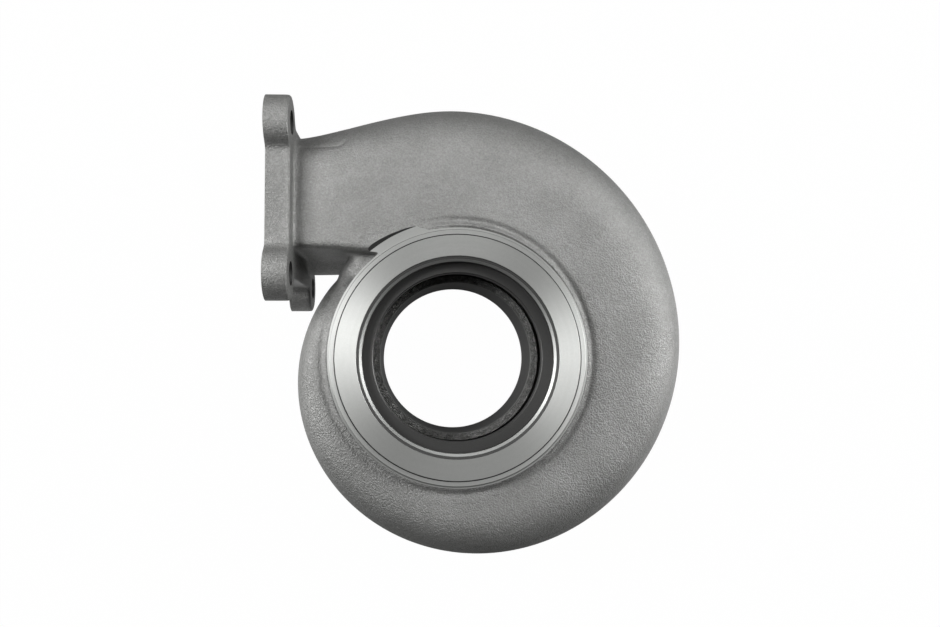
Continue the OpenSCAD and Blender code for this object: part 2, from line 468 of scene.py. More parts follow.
        o, a, b = [(pick(sides, k), pick(heights, k)) for k in (0, -1, 1)]
        share_in = self._share(o, a, pick(cuts["cut in"]))
        share_out = self._share(o, b, pick(cuts["cut out"]))
        t = local.held()
        before = (local * -1.0).math("MAXIMUM", 0.0)
        after = (local - 1.0).math("MAXIMUM", 0.0)
        result: list[Rule] = []
        for here, last, following in zip(o, a, b):
            s, e = here.to(last, share_in), here.to(following, share_out)
            curve = s * t.flip() * t.flip() + here * t * t.flip() * 2.0 + e * t * t
            curve = curve + ((here + last) * 0.5 - s) * before
            result.append(curve + ((here + following) * 0.5 - e) * after)
        return result[0], result[1], (heights[0] + heights[3]) * 0.5

    def _share(self, corner: tuple[Rule, Rule], other: tuple[Rule, Rule], length: Rule) -> Rule:
        """Share of a side that a cut takes, at most just under half."""
        dx, dy = other[0] - corner[0], other[1] - corner[1]
        span = (dx * dx + dy * dy).math("SQRT").math("MAXIMUM", 0.01)
        return (length / span).math("MINIMUM", self.MOST_OF_SIDE)

    def mesh(self, name: str, sizes: Sweep, material: Material) -> Mesh:
        """Runs the tree once.

        Args:
            name: name of the mesh.
            sizes: values of the inputs.
            material: finish of the result.

        Returns:
            A closed mesh with its faces outwards.
        """
        host = linked(name, bpy.data.meshes.new(name + "_seed"))
        modifier = host.modifiers.new("sweep", "NODES")
        modifier.node_group = self.tree
        values = sizes.values()
        for item in self.tree.interface.items_tree:
            if item.in_out == "INPUT":
                modifier[item.identifier] = values.get(item.name, material)
        settle(host)
        mesh = host.data
        mesh.name = name
        bpy.data.objects.remove(host)
        return outward(mesh)


# Mesh helpers


def linked(name: str, data: bpy.types.ID) -> Object:
    """Puts a mesh, a lamp or a camera in the scene as a new object."""
    obj = bpy.data.objects.new(name, data)
    bpy.context.scene.collection.objects.link(obj)
    return obj


def baked(name: str, work: BMesh) -> Mesh:
    """Turns faces under construction, which are used up, into a mesh."""
    mesh = bpy.data.meshes.new(name)
    work.to_mesh(mesh)
    work.free()
    return mesh


def outward(mesh: Mesh) -> Mesh:
    """Merges doubles and turns every face outwards.

    Args:
        mesh: the mesh, changed in place.

    Returns:
        The same mesh.
    """
    work = bmesh.new()
    work.from_mesh(mesh)
    bmesh.ops.remove_doubles(work, verts=work.verts, dist=MERGE)
    bmesh.ops.recalc_face_normals(work, faces=work.faces)
    work.to_mesh(mesh)
    work.free()
    return mesh


def on_axis(radius: float, angle: float, height: float) -> tuple[float, float, float]:
    """Point in metres for a radius and height in millimetres and an angle in radians."""
    return radius * math.cos(angle) * MM, radius * math.sin(angle) * MM, height * MM


def revolve(name: str, profile: Sequence[tuple[float, float, Surface]], steps: int = 240) -> Mesh:
    """Turns a closed profile round the axis.

    Args:
        name: name of the mesh.
        profile: radius, height and the surface that the stretch after the point leaves.
        steps: facets round the axis.

    Returns:
        The closed mesh.
    """
    offset = 0.37
    work = bmesh.new()
    rings: list[list[BMVert]] = []
    for radius, height, _ in profile:
        angles = [2.0 * math.pi * (k + offset) / steps for k in range(steps if radius > MERGE else 1)]
        rings.append([work.verts.new(on_axis(radius, t, height)) for t in angles])
    for here, there, point in zip(rings, rings[1:] + rings[:1], profile):
        if len(here) == 1 and len(there) == 1:
            continue
        for k in range(steps):
            corners = [here[k % len(here)], here[(k + 1) % len(here)],
                       there[(k + 1) % len(there)], there[k % len(there)]]
            face = work.faces.new(list(dict.fromkeys(corners)))
            face.material_index = point[2].value
    return outward(baked(name, work))


def disc(radius: float, low: float, high: float, surface: Surface) -> list[tuple[float, float, Surface]]:
    """Profile of a plain disc from one height to another."""
    return [(0.0, low, surface), (radius, low, surface), (radius, high, surface), (0.0, high, surface)]


def sides(work: BMesh, rings: Sequence[Sequence[BMVert]]) -> None:
    """Joins a row of rings, of the same number of points, with faces."""
    for here, there in zip(rings, rings[1:]):
        for k in range(len(here)):
            nxt = (k + 1) % len(here)
            work.faces.new((here[k], here[nxt], there[nxt], there[k]))


def joined(name: str, meshes: Sequence[Mesh]) -> Object:
    """Puts several meshes in one object without fusing them.

    Args:
        name: name of the object.
        meshes: the meshes, which are used up.

    Returns:
        The object, at the origin.
    """
    work = bmesh.new()
    for mesh in meshes:
        work.from_mesh(mesh)
    return linked(name, baked(name, work))


def settle(obj: Object) -> None:
    """Applies an object's modifiers to its mesh."""
    depsgraph = bpy.context.evaluated_depsgraph_get()
    mesh = bpy.data.meshes.new_from_object(obj.evaluated_get(depsgraph))
    obj.modifiers.clear()
    obj.data = mesh


def modify(obj: Object, kind: str, **settings: object) -> None:
    """Adds one modifier to an object and applies it.

    Args:
        obj: the object, changed in place.
        kind: type name of the modifier.
        **settings: attributes of the modifier.
    """
    modifier = obj.modifiers.new(kind.lower(), kind)
    for key, value in settings.items():
        setattr(modifier, key, value)
    settle(obj)


def cut(obj: Object, tool: Mesh) -> None:
    """Cuts a tool's shape from an object; the cut faces keep the tool's surface.

    Args:
        obj: the object, changed in place.
        tool: mesh of the tool, used up.
    """
    kept = column(tool.polygons, "material_index", 1, np.int32)
    tool.materials.clear()
    for material in obj.data.materials:
        tool.materials.append(material)
    tool.polygons.foreach_set("material_index", kept)
    knife = linked("tool", tool)
    before = count(obj)
    modify(obj, "BOOLEAN", operation="DIFFERENCE", solver="MANIFOLD", object=knife)
    bpy.data.objects.remove(knife)
    LOG.info("cut %s: %d to %d triangles", tool.name, before, count(obj))


def count(obj: Object) -> int:
    """Triangles of an object's mesh."""
    return sum(len(p.vertices) - 2 for p in obj.data.polygons)


def column(items: bpy.types.bpy_prop_collection, name: str, width: int = 3, kind: type = float) -> np.ndarray:
    """One attribute of all items.

    Args:
        items: vertices or faces of a mesh.
        name: name of the attribute.
        width: numbers in each item's value.
        kind: type of the numbers.

    Returns:
        A row for each item, or a flat array when the value is one number.
    """
    flat = np.empty(len(items) * width, kind)
    items.foreach_get(name, flat)
    return flat if width == 1 else flat.reshape(-1, width)


def points_of(mesh: Mesh) -> np.ndarray:
    """Vertices of a mesh in millimetres."""
    return column(mesh.vertices, "co") / MM


def place_points(mesh: Mesh, points: np.ndarray) -> None:
    """Moves the vertices of a mesh to points in millimetres."""
    mesh.vertices.foreach_set("co", (points * MM).ravel())
    mesh.update()


def paint(mesh: Mesh, surface: Surface) -> None:
    """Gives every face of a mesh the same surface."""
    mesh.polygons.foreach_set("material_index", np.full(len(mesh.polygons), surface.value, np.int32))


def arc(u: float, v: float, radius: float, begin: float, end: float, steps: int) -> list[Point]:
    """Points of an arc.

    Args:
        u: first coordinate of the centre.
        v: second coordinate of the centre.
        radius: its radius.
        begin: angle of the first point.
        end: angle of the last point.
        steps: number of chords.

    Returns:
        The points.
    """
    angles = [begin + (end - begin) * k / steps for k in range(steps + 1)]
    return [(u + radius * math.cos(a), v + radius * math.sin(a)) for a in angles]


# Finishes


class Shader:
    """Short way to place and link shader nodes in one tree."""

    def __init__(self, tree: NodeTree) -> None:
        """Starts on a tree, which it empties."""
        self.tree = tree
        tree.nodes.clear()

    def node(self, kind: str, links: dict[str, object] | None = None, **settings: object) -> Node:
        """Adds a node.

        Args:
            kind: type name of the node.
            links: input name or number to a rule, an output or a plain value.
            **settings: attributes of the node.

        Returns:
            The node.
        """
        made = self.tree.nodes.new(kind)
        for key, value in settings.items():
            setattr(made, key, value)
        for key, value in (links or {}).items():
            feed(made.inputs[int(key)] if key.isdigit() else made.inputs[key], value)
        return made

    def rules(self, kind: str, links: dict[str, object] | None = None, **settings: object) -> dict[str, Rule]:
        """Adds a node and gives its outputs as rules, by name."""
        return {s.name: Rule(self.tree, s) for s in self.node(kind, links, **settings).outputs}

    def ramp(self, value: Number, low: float, high: float, bottom: float = 0.0, top: float = 1.0) -> Rule:
        """A smooth step from bottom to top while a value runs from low to high."""
        ends = {"Value": value, "From Min": low, "From Max": high, "To Min": bottom, "To Max": top}
        return self.rules("ShaderNodeMapRange", ends, interpolation_type="SMOOTHSTEP")["Result"]

    def noise(self, at: NodeSocket, scale: Number, detail: float, rough: float = 0.5) -> Rule:
        """Noise between 0 and 1; the scale is features in a metre, the detail octaves."""
        look = {"Vector": at, "Scale": scale, "Detail": detail, "Roughness": rough}
        return self.rules("ShaderNodeTexNoise", look)["Fac"]

    def object_place(self) -> NodeSocket:
        """Coordinates on the object."""
        return self.node("ShaderNodeTexCoord").outputs["Object"]

    def parts(self, vector: NodeSocket) -> list[Rule]:
        """The three numbers of a vector."""
        return list(self.rules("ShaderNodeSeparateXYZ", {"0": vector}).values())

    def finish(self, kind: str, surface: Node) -> None:
        """Links the last node to a new output node of the kind."""
        self.node(kind, {"0": surface.outputs[0]})


class Effect(Shader):
    """A shader node group while it is built."""

    def __init__(self, name: str, inputs: dict[str, float]) -> None:
        """Starts the group, with an input for each name and its default value."""
        super().__init__(bpy.data.node_groups.new(name, "ShaderNodeTree"))
        for key, value in inputs.items():
            self._socket(key, "INPUT").default_value = value
        self.given = self.rules("NodeGroupInput")

    def _socket(self, name: str, way: str) -> bpy.types.NodeTreeInterfaceSocket:
        """Adds a named input or output."""
        return self.tree.interface.new_socket(name, in_out=way, socket_type="NodeSocketFloat")

    def per_metre(self, name: str) -> Rule:
        """Features in a metre for an input that gives their size in millimetres."""
        return constant(self.tree, 1.0 / MM) / self.given[name]

    def close(self, outputs: dict[str, Rule]) -> NodeTree:
        """Links the outputs, by name, and gives the group."""
        for key in outputs:
            self._socket(key, "OUTPUT")
        self.node("NodeGroupOutput", outputs)
        return self.tree


class Effects:
    """Node groups that several finishes share."""

    def __init__(self) -> None:
        """Builds the groups."""
        self.grain = self._grain()
        self.lay = self._lay()
        self.cloud = self._cloud()

    def _grain(self) -> NodeTree:
        """Shot-blasted cast skin: fine pits over soft waves, as a height."""
        made = Effect("cast_grain", {"Size": 0.45, "Depth": 1.0, "Wave": 0.5})
        at, per_m = made.object_place(), made.per_metre("Size")
        pits = made.ramp(made.noise(at, per_m, 3.0, 0.62), 0.3, 0.7)
        coarse = made.noise(at, per_m * 0.28, 2.0)
        wave = made.noise(at, per_m * 0.03, 2.0)
        small = pits * 0.55 + coarse * 0.9
        height = small * made.given["Depth"] + wave * (made.given["Wave"] * 4.0)
        return made.close({"Height": height, "Pits": pits})

    def _lay(self) -> NodeTree:
        """Turned lay: rings round the axis, finer and coarser, as a height and a tone."""
        made = Effect("turned_lay", {"Pitch": 0.22, "Depth": 1.0})
        x, y, z = made.parts(made.object_place())
        radius, spin = (x * x + y * y).math("SQRT"), y.math("ARCTAN2", x) * 0.0016
        where = made.node("ShaderNodeCombineXYZ", {"X": radius + z, "Y": spin}).outputs[0]
        per_m = made.per_metre("Pitch")
        rings = made.noise(where, per_m, 2.0, 0.6)
        wide = made.noise(where, per_m * 0.12, 2.0)
        return made.close({"Height": rings * made.given["Depth"], "Tone": rings * 0.35 + wide * 0.65})

    def _cloud(self) -> NodeTree:
        """Broad patches of tone, such as handling and heat leave."""
        made = Effect("tone_patches", {"Size": 22.0})
        at, per_m = made.object_place(), made.per_metre("Size")
        patch = made.ramp(made.noise(at, per_m, 4.0, 0.55), 0.3, 0.7)
        speck = made.ramp(made.noise(at, per_m * 9.0, 2.0), 0.35, 0.75)
        return made.close({"Patch": patch, "Speck": speck})


@dataclass(frozen=True)
class Finish:
    """One finish of the casting: its colours, gloss and relief."""

    name: str
    dark: tuple[float, float, float]
    light: tuple[float, float, float]
    rough_low: float
    rough_high: float
    metallic: float
    grain_size: float
    grain_depth: float
    wave: float
    lay_depth: float = 0.0
    lay_pitch: float = 0.22
    relief: float = 0.06
    along_lay: float = 0.0
    patch: float = 22.0
    patchy: float = 0.22

    PITS_IN_TONE: ClassVar[float] = 0.40
    SPECKS_IN_TONE: ClassVar[float] = 0.15
    LAY_IN_TONE: ClassVar[float] = 0.6

    def material(self, effects: Effects) -> Material:
        """Builds the material.

        Args:
            effects: the shared node groups.

        Returns:
            The material.
        """
        made = bpy.data.materials.new(self.name)
        made.use_nodes = True
        sh = Shader(made.node_tree)
        sizes = {"Size": self.grain_size, "Depth": self.grain_depth, "Wave": self.wave}
        grain = sh.rules("ShaderNodeGroup", sizes, node_tree=effects.grain)
        cloud = sh.rules("ShaderNodeGroup", {"Size": self.patch}, node_tree=effects.cloud)
        tone = cloud["Patch"] * self.patchy + grain["Pits"] * self.PITS_IN_TONE
        tone = tone + cloud["Speck"] * self.SPECKS_IN_TONE
        height = grain["Height"]
        if self.lay_depth > 0.0:
            sizes = {"Pitch": self.lay_pitch, "Depth": self.lay_depth}
            lay = sh.rules("ShaderNodeGroup", sizes, node_tree=effects.lay)
            height = height + lay["Height"]
            tone = tone * (1.0 - self.LAY_IN_TONE) + lay["Tone"] * self.LAY_IN_TONE
        shades = {"0": tone, "6": (*self.dark, 1.0), "7": (*self.light, 1.0)}
        colour = sh.node("ShaderNodeMix", shades, data_type="RGBA")
        bump = sh.node("ShaderNodeBump", {"Height": height, "Strength": 1.0, "Distance": self.relief * MM})
        look = {"Base Color": colour.outputs[2], "Metallic": self.metallic, "Normal": bump.outputs[0],
                "Roughness": sh.ramp(tone, 0.0, 1.0, self.rough_high, self.rough_low)}
        if self.along_lay > 0.0:
            ends = {"0": (0.0, 0.0, 1.0), "1": sh.object_place()}
            ring = sh.node("ShaderNodeVectorMath", ends, operation="CROSS_PRODUCT")
            unit = sh.node("ShaderNodeVectorMath", {"0": ring.outputs[0]}, operation="NORMALIZE")
            look.update({"Anisotropic": self.along_lay, "Anisotropic Rotation": 0.25,
                         "Tangent": unit.outputs[0]})
        sh.finish("ShaderNodeOutputMaterial", sh.node("ShaderNodeBsdfPrincipled", look))
        return made


# The finishes that the photograph shows, in the order of the surfaces
FINISHES = (
    Finish("cast_skin", (0.150, 0.151, 0.146), (0.270, 0.271, 0.266), 0.44, 0.56, 0.72, 0.8, 1.0, 0.10,
           relief=0.26),
    Finish("turned_face", (0.38, 0.386, 0.375), (0.48, 0.485, 0.475), 0.46, 0.56, 1.0, 0.6, 0.05, 0.0,
           lay_depth=1.0, lay_pitch=0.20, relief=0.003, along_lay=0.72),
    Finish("turned_land", (0.40, 0.406, 0.395), (0.50, 0.505, 0.495), 0.48, 0.58, 1.0, 0.6, 0.05, 0.0,
           lay_depth=1.0, lay_pitch=0.30, relief=0.004, along_lay=0.68),
    Finish("broken_edge", (0.26, 0.265, 0.258), (0.33, 0.336, 0.328), 0.42, 0.52, 1.0, 0.6, 0.05, 0.0,
           lay_depth=1.0, lay_pitch=0.30, relief=0.004, along_lay=0.5),
    # Turned walls and bores: painted shade. The same machined metal as the turned face, coloured far darker
    # to stand in for the shade deep in the bore and the dark its walls reflect.
    Finish("turned_bore", (0.060, 0.060, 0.059), (0.095, 0.095, 0.093), 0.42, 0.52, 0.9, 0.6, 0.1, 0.0,
           lay_depth=1.0, lay_pitch=0.25, relief=0.008, along_lay=0.4),
    Finish("chattered_lip", (0.09, 0.09, 0.087), (0.30, 0.30, 0.292), 0.42, 0.60, 0.8, 0.6, 1.6, 0.3,
           relief=0.45, patch=2.5, patchy=0.6),
    Finish("cored_skin", (0.10, 0.10, 0.096), (0.19, 0.19, 0.184), 0.58, 0.72, 0.5, 1.0, 1.4, 0.5,
           relief=0.20),
    Finish("milled_face", (0.42, 0.43, 0.42), (0.54, 0.55, 0.54), 0.34, 0.46, 1.0, 0.7, 0.15, 0.1,
           relief=0.010),
)


# The casting


@dataclass
class BearingSide:
    """Machined bearing side and bore, as the lathe leaves them."""

    top: float = 100.0
    land_step: float = 0.7
    clear_step: float = 1.6
    pilot: float = 44.3
    pilot_depth: float = 7.0
    pilot_lead: float = 1.2
    ledge: float = 39.5
    ledge_lead: float = 0.7
    face_inner: float = 46.8
    face_outer: float = 56.6
    face_depth: float = 0.4
    land: float = 59.3
    clearance: float = 64.0
    flare: float = 12.0
    exducer: float = 37.3
    exducer_low: float = 23.0
    outlet: float = 45.0
    outlet_land: float = 0.5
    slot_low: float = 64.0
    slot_high: float = 86.0
    slot_radius: float = 53.0
    slot_fall: float = 7.0
    lip: float = 40.9
    lip_round: float = 1.0
    gutter: float = 4.0
    divider_low: float = 73.5
    divider_high: float = 76.5
    divider_tip: float = 43.0
    tip_round: float = 0.8
    break_edge: float = 0.15
    land_edge: float = 0.3
    undercut: float = 0.25
    nick: float = 0.4
    clear_above: float = 20.0
    clear_below: float = 3.0

    def inside(self) -> list[tuple[float, float, Surface]]:
        """Profile of all that is turned or cored away inside: radius, height and surface."""
        t, floor = self.top, self.top - self.pilot_depth
        below, above, nick, lead = -self.clear_below, t + self.clear_above, self.nick, self.ledge_lead
        bore, ease = self.exducer, self.lip_round
        wall, low, high = self.slot_radius, self.slot_low, self.slot_high
        tip, soft, under, over = self.divider_tip, self.tip_round, self.divider_low, self.divider_high
        inner, broken = self.face_inner, self.break_edge
        core, turned, edge, rough = Surface.CORE, Surface.BORE, Surface.EDGE, Surface.LIP
        return [
            (0.0, below, turned), (self.outlet, below, turned), (self.outlet, self.outlet_land, turned),
            (bore, self.exducer_low, turned), (bore, low - 1.5 * ease, edge),
            (bore + 0.35 * ease, low - 0.45 * ease, rough), (bore + ease, low, rough), (self.lip, low, core),
            (self.lip + 1.3, low - self.gutter, core), (wall, low - self.slot_fall, core),
            (wall, under, core), (tip + soft, under, core), (tip, under + soft, core),
            (tip, over - soft, core), (tip + soft, over, core), (wall, over, core), (wall, high, core),
            (self.ledge + lead, high, turned), (self.ledge, high + lead, turned),
            (self.ledge, floor - nick, turned), (self.ledge + nick, floor, turned),
            (self.pilot, floor, turned), (self.pilot, t - self.pilot_lead, edge),
            (self.pilot + self.pilot_lead, t - self.pilot_lead / 2.0, turned),
            (inner, t - self.face_depth, turned), (inner, t - broken, edge), (inner + broken, t, turned),
            (inner + broken, above, turned), (0.0, above, turned),
        ]

    def outside(self) -> list[tuple[float, float, Surface]]:
        """Profile of all that is turned away outside the face: radius, height and surface."""
        t, floor, low = self.top, self.top - self.land_step, self.top - self.clear_step
        above, far = t + self.clear_above, self.clearance + self.flare
        outer, under = self.face_outer, self.undercut
        face, land, wall, edge = Surface.FACE, Surface.LAND, Surface.BORE, Surface.EDGE
        return [
            (0.0, above, face), (0.0, t, face), (outer - self.break_edge, t, edge),
            (outer, t - self.break_edge, wall), (outer, floor, wall),
            (outer + under, floor - 0.8 * under, wall), (outer + 2.0 * under, floor, land),
            (self.land - self.land_edge, floor, edge), (self.land, floor - self.land_edge, land),
            (self.land, low, land), (self.clearance - self.nick, low, wall),
            (self.clearance + self.nick / 2.0, low + self.nick, wall),
            (far, low + self.flare + self.nick, face), (far, above, face),
        ]


@dataclass
class InletFlange:
    """Divided four-bolt flange at the inlet."""

    face_x: float = -88.0
    thickness: float = 11.4
    centre_y: float = 73.4
    centre_z: float = 57.0
    hole_y: float = 69.9
    hole_z: float = 85.7
    hole: float = 5.65
    hole_facets: int = 64
    ear: float = 12.6
    waist: float = 47.4
    blend: float = 5.0
    side: float = 35.8
    stock: float = 4.0
    drill_before: float = 9.0
    drill_past: float = 2.5
    mill_reach: float = 90.0
    mill_depth: float = 12.0

    def outline(self) -> list[Point]:
        """Outline of the flange round its centre, drawn in between the ears on all four sides."""
        ey, ez = self.hole_y / 2.0, self.hole_z / 2.0
        rise = self.waist + self.blend - ez
        run = math.sqrt((self.ear + self.blend) ** 2 - rise ** 2)
        reach = self.side + self.blend - ey
        drop = math.sqrt((self.ear + self.blend) ** 2 - reach ** 2)
        first, last = math.atan2(rise, run), math.atan2(drop, reach)
        quarter = arc(ey - run, self.waist + self.blend, self.blend, -math.pi / 2.0, -first, 8)
        quarter += arc(ey, ez, self.ear, math.pi - first, -last, 28)[1:]
        quarter += arc(self.side + self.blend, ez - drop, self.blend, math.pi - last, math.pi, 8)[1:]
        half = quarter + [(u, -v) for u, v in quarter[::-1]]
        return half + [(-u, v) for u, v in half[::-1]]

    def _extrude(self, name: str, outline: Sequence[Point], low: float, high: float,
                 surface: Surface = Surface.CAST) -> Mesh:
        """Extrudes a closed outline along the duct.

        Args:
            name: name of the mesh.
            outline: points of the outline, from the flange's centre.
            low: place of the first cap.
            high: place of the second cap.
            surface: what the shape leaves when it cuts.

        Returns:
            The closed mesh.
        """
        work = bmesh.new()
        rings = [[work.verts.new(tuple(c * MM for c in (x, self.centre_y + u, self.centre_z + v)))
                  for u, v in outline] for x in (low, high)]
        sides(work, rings)
        work.faces.new(rings[0][::-1])
        work.faces.new(rings[1])
        bmesh.ops.triangulate(work, faces=[f for f in work.faces if len(f.verts) > 4])
        for face in work.faces:
            face.material_index = surface.value
        return outward(baked(name, work))

    def plate(self) -> Mesh:
        """Rough plate, with a little left on its face for the mill."""
        return self._extrude("plate", self.outline(), self.face_x - self.stock, self.face_x + self.thickness)

    def drills(self) -> list[Mesh]:
        """The tools of the four holes through the ears."""
        tools = []
        low, high = self.face_x - self.drill_before, self.face_x + self.thickness + self.drill_past
        for sy, sz in ((-1, -1), (-1, 1), (1, -1), (1, 1)):
            u, v = sy * self.hole_y / 2.0, sz * self.hole_z / 2.0
            ring = arc(u, v, self.hole, 0.0, 2.0 * math.pi, self.hole_facets)[:-1]
            tools.append(self._extrude("drill", ring, low, high, Surface.BORE))
        return tools

    def mill(self) -> Mesh:
        """Box of what the mill takes off the face."""
        r = self.mill_reach
        square = [(-r, -r), (r, -r), (r, r), (-r, r)]
        return self._extrude("mill", square, self.face_x - self.mill_depth, self.face_x, Surface.MILLED)


@dataclass
class Scroll:
    """Sections of the scroll's outside and of its two gas passages."""

    wall: float = 5.0
    hub: float = 46.0
    throat: float = 50.0
    front_runner: float = 51.0
    rear_runner: float = 44.5
    port_side: float = 52.4
    port_top: float = 98.4
    split: float = 62.0
    divider: float = 2.5

    def outside(self) -> Sweep:
        """Skin of the scroll, with the step between the two runners under the duct."""
        hub, low, high = self.hub, self.rear_runner, self.front_runner
        return Sweep(corners=(
            Corner(high, 0, hub, 0, 0, 1, 0, 1, 3.5, 3.5, 3.5, 3.5),
            Corner(0, 0, 0, 1, -1, 1, 0, 1, 24, 30, 24, 34, 1),
            Corner(0, 0, 0, 1, 0, 0, 1, 1, 34, 34, 30, 30, 1),
            Corner(low, 0, hub, 0, 0, 0, 1, 1, 14, 14, 14, 14),
            Corner(low, 36, hub - 1, 0, 50, 0, 0, 0, 5, 5, 5, 5),
            Corner(high, 50, hub - 1, 0, 59, 0, 0, 0, 5, 5, 5, 5),
        ))

    def _passage(self, *corners: Corner) -> Sweep:
        """A passage's sweep from its four corners, with two idle ones on the side by the hub."""
        idle = [corners[3].between(corners[0], share) for share in (0.34, 0.67)]
        return Sweep(corners=(*corners, *idle), stations=150, corner_points=18, inlet_x=-92.0, turn=296.0,
                     floor_rise=self.front_runner + self.wall - self.port_side)

    def passages(self) -> dict[str, Sweep]:
        """The sweeps of the two gas passages, by the name of the core."""
        side, top, w, throat = self.port_side, self.port_top, self.wall, self.throat
        front = self._passage(
            Corner(side, 90.5, throat, 0, 85.2, 0, 0, 0, 5, 5, 5, 5, 0, 1),
            Corner(top, 89.5, -w, 1, -w - 1, 1, 0, 0, 8, 24, 8, 16),
            Corner(top, 59.5, -w, 1, self.split + self.divider, 0, 0, 0, 8, 8, 6, 6),
            Corner(side, 59.5, throat, 0, 77.3, 0, 0, 0, 5, 5, 5, 5, 0, 1),
        )
        rear = self._passage(
            Corner(side, 54.5, throat, 0, 72.7, 0, 0, 0, 5, 5, 4, 4, 0, 1),
            Corner(top, 54.5, -w, 1, self.split - self.divider, 0, 0, 0, 8, 8, 6, 6),
            Corner(top, 23.5, -w, 1, w, 0, 1, 0, 8, 20, 8, 24),
            Corner(side, 23.5, throat + 6, 0, w, 0, 1, 0, 8, 8, 8, 8),
        )
        return {"front_core": front, "rear_core": rear}


@dataclass
class Tongue:
    """Blunt wedge that closes the end of the scroll against the duct."""

    begin: float = -202.0
    step: float = 2.0
    rings: int = 19
    points: int = 40
    squareness: float = 0.6
    inset: float = 1.0
    heel: float = 3.0
    sunk: float = 3.0
    nose: float = 3.8
    nose_lift: float = 7.0
    reach: float = 11.0

    def mesh(self, skin: Sweep) -> Mesh:
        """Builds the wedge.

        Args:
            skin: the sweep whose end it closes.

        Returns:
            The closed mesh.
        """
        work = bmesh.new()
        rings: list[list[BMVert]] = []
        for k in range(self.rings):
            angle = self.begin - self.step * k
            buried, nose = self.sunk * (1.0 - smooth(k / 5.0)), smooth((k - 4.0) / 5.0)
            inner = skin.hub + self.inset
            outer = skin.radius(angle) - self.inset - buried + self.nose * nose
            outer += self.reach * smooth((k - 10.0) / 4.0)
            low = skin.rear_at(angle) + self.heel + buried
            high = skin.front_at(angle) - self.inset - buried + self.nose_lift * nose
            ring = []
            for j in range(self.points):
                a = 2.0 * math.pi * j / self.points
                across, up = (math.copysign(abs(f(a)) ** self.squareness, f(a)) for f in (math.cos, math.sin))
                side = (outer + inner) / 2.0 + (outer - inner) / 2.0 * across
                height = (low + high) / 2.0 + (high - low) / 2.0 * up
                ring.append(work.verts.new(on_axis(side, math.radians(angle), height)))
            rings.append(ring)
        sides(work, rings)
        work.faces.new(rings[0])
        work.faces.new(rings[-1][::-1])
        return outward(baked("tongue", work))


@dataclass
class Pad:
    """Shallow cast pad on top of the duct beside the flange, which shows as the groove round it."""

    end_x: float = -51.5
    low_y: float = 98.0
    from_x: float = -76.0
    from_z: float = 40.0
    corner: float = 5.5
    groove: float = 0.38
    groove_place: float = 0.3
    groove_width: float = 0.7
    left_on_top: float = 0.2

    def carve(self, mesh: Mesh) -> None:
        """Presses the groove into the skin.

        Args:
            mesh: the raw casting, changed in place.
        """
        p, n = points_of(mesh), column(mesh.vertices, "normal")
        across = np.maximum(p[:, 0] - self.end_x + self.corner, 0.0)
        down = np.maximum(self.low_y + self.corner - p[:, 1], 0.0)
        inside = self.corner - np.hypot(across, down)
        on = eased((p[:, 2] - self.from_z) / 1.2) * eased((p[:, 0] - self.from_x) / 3.0)
        on = on * (1.0 - (1.0 - self.left_on_top) * eased((n[:, 1] - 0.7) / 0.2))
        line = on * np.exp(-((inside - self.groove_place) / self.groove_width) ** 2)
        place_points(mesh, p - n * (self.groove * line)[:, None])


@dataclass
class Valley:
    """Cast valley beside the bearing boss, clockwise from the tongue, with the low ridge outside it."""

    begin: float = 114.0
    fade_in: float = 30.0
    half_from: float = 70.0
    half_over: float = 60.0
    fade_from: float = 300.0
    fade_out: float = 25.0
    from_z: float = 80.0
    dip: float = 1.6
    dip_radius: float = 60.0
    dip_width: float = 0.75
    ridge: float = 0.5
    ridge_radii: Point = (60.8, 62.8)
    ridge_fades: Point = (0.7, 1.2)
    hollow: float = 1.0
    hollow_radius: float = 64.0
    hollow_width: float = 1.4

    def carve(self, mesh: Mesh) -> None:
        """Carves the valley and raises the ridge.

        Args:
            mesh: the raw casting, changed in place.
        """
        p, n = points_of(mesh), column(mesh.vertices, "normal")
        radius = np.hypot(p[:, 0], p[:, 1])
        angle = np.degrees(np.arctan2(p[:, 1], p[:, 0]))
        past = np.where(angle > self.begin, self.begin + 360.0 - angle, self.begin - angle)
        depth = eased(past / self.fade_in) * (1.0 - 0.5 * eased((past - self.half_from) / self.half_over))
        depth = depth * (1.0 - eased((past - self.fade_from) / self.fade_out))
        on_front = eased((n[:, 2] - 0.1) / 0.4) * (p[:, 2] > self.from_z)
        dip = np.exp(-((radius - self.dip_radius) / self.dip_width) ** 2)
        ridge = within(1.0, radius, self.ridge_radii, self.ridge_fades)
        hollow = np.exp(-((radius - self.hollow_radius) / self.hollow_width) ** 2)
        p[:, 2] += on_front * depth * (self.ridge * ridge - self.dip * dip - self.hollow * hollow)
        place_points(mesh, p)


